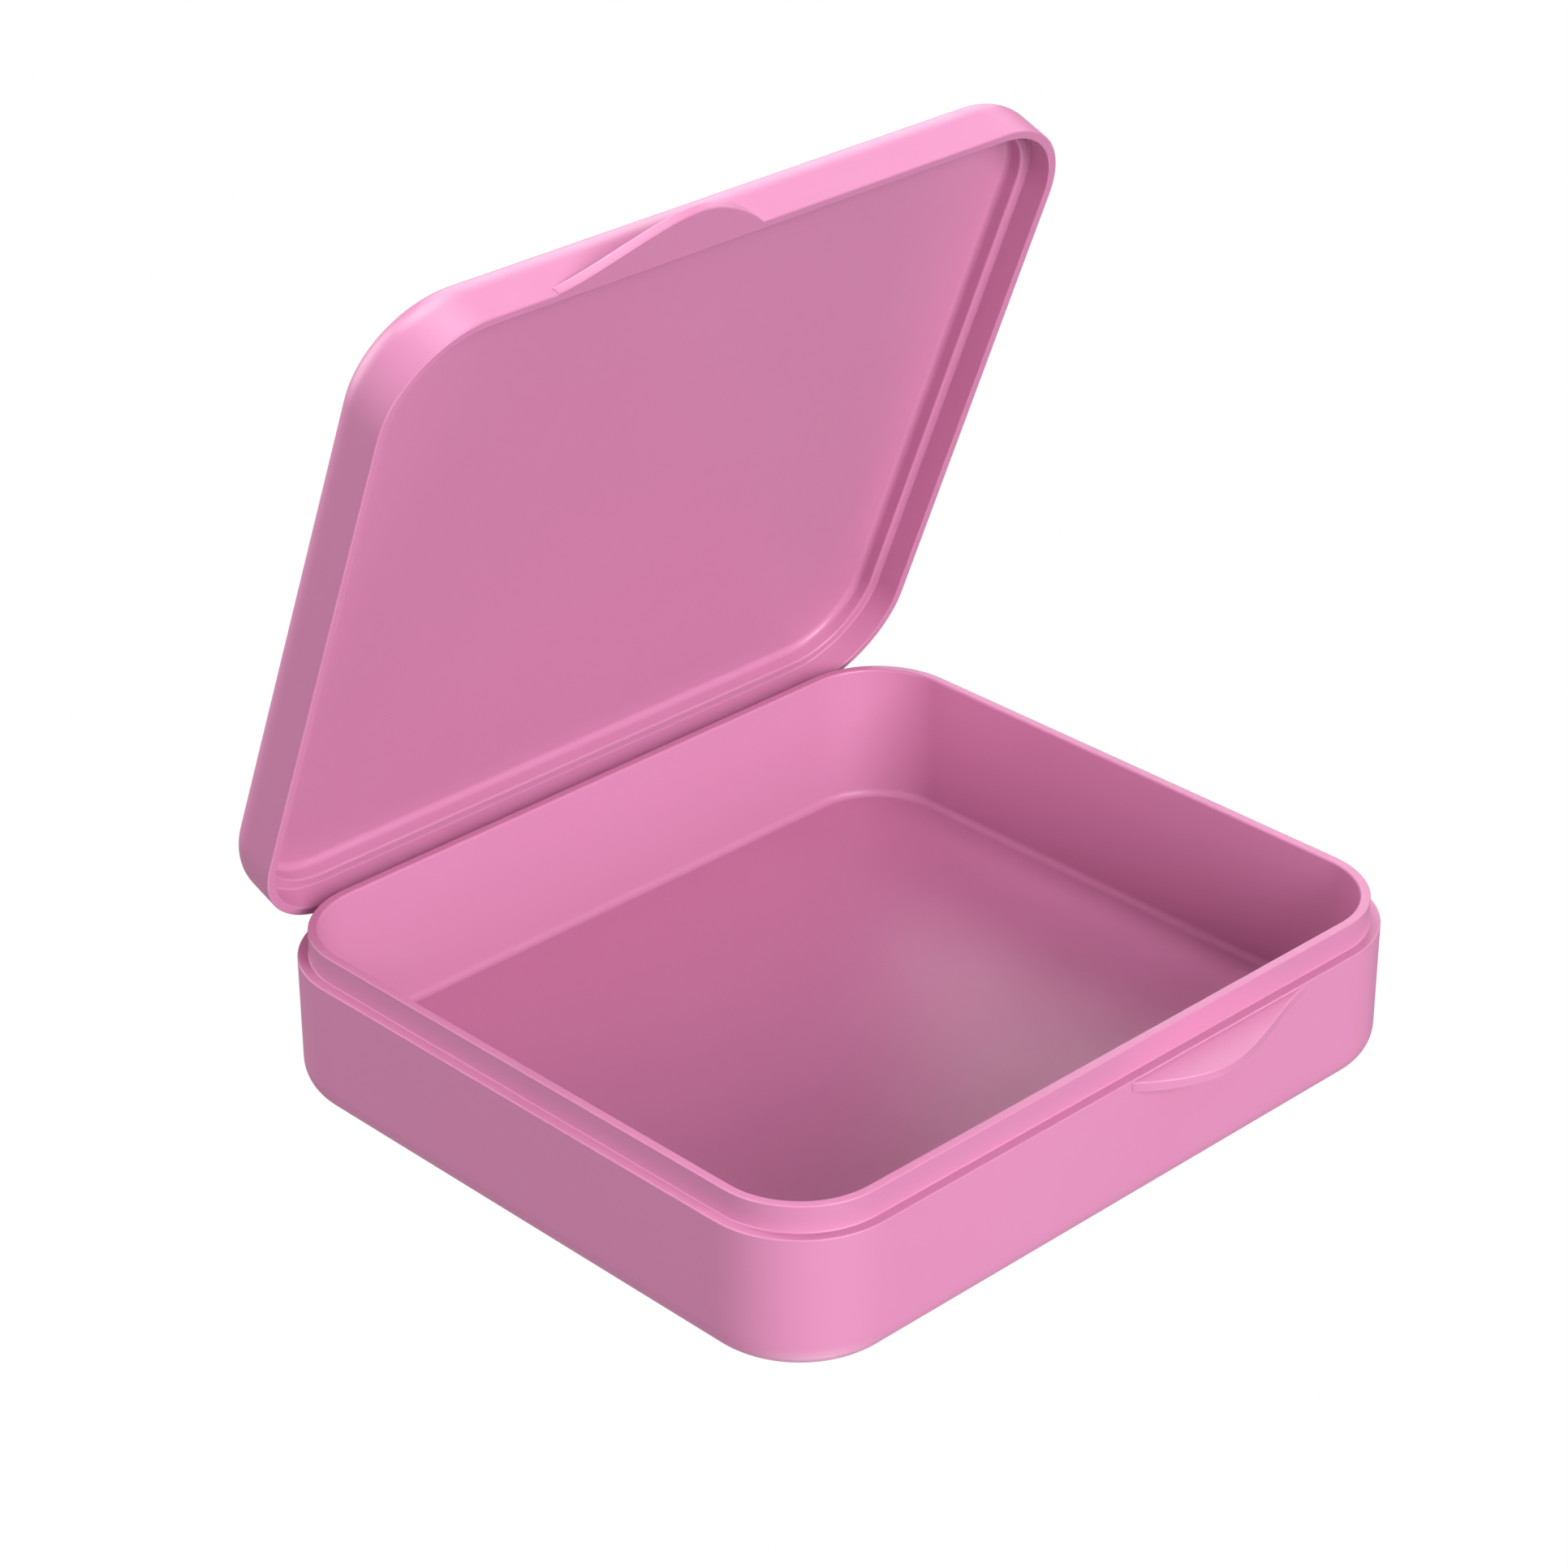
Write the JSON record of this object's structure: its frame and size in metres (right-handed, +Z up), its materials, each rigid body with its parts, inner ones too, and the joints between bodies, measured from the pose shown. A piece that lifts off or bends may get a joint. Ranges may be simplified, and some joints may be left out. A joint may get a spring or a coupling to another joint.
{
  "type": "hinged storage box",
  "caption": "Small rounded rectangular plastic box with a shallow hinged lid, a raised inner lip and a crescent thumb tab on each half.",
  "frame": {"origin": "middle of the tray's flat underside", "axes": "+Z up, the front with the thumb tabs faces -Y, the hinge runs along X at the rear"},
  "size_m": [0.08, 0.0794, 0.0833],
  "materials": {
    "tray_plastic": "satin",
    "film_plastic": "satin",
    "lid_plastic": "satin"
  },
  "bodies": {
    "tray": {"base_tray": "tray_plastic", "hinge_film": "film_plastic"},
    "lid": {"lid": "lid_plastic"}
  },
  "joints": [
    {"name": "lid_hinge", "type": "hinge", "parent": "tray", "child": "lid", "pos_m": [0, 0.03525, 0.0137], "axis": [-1, 0, 0], "range_deg": [-68.8, 111.2]}
  ]
}
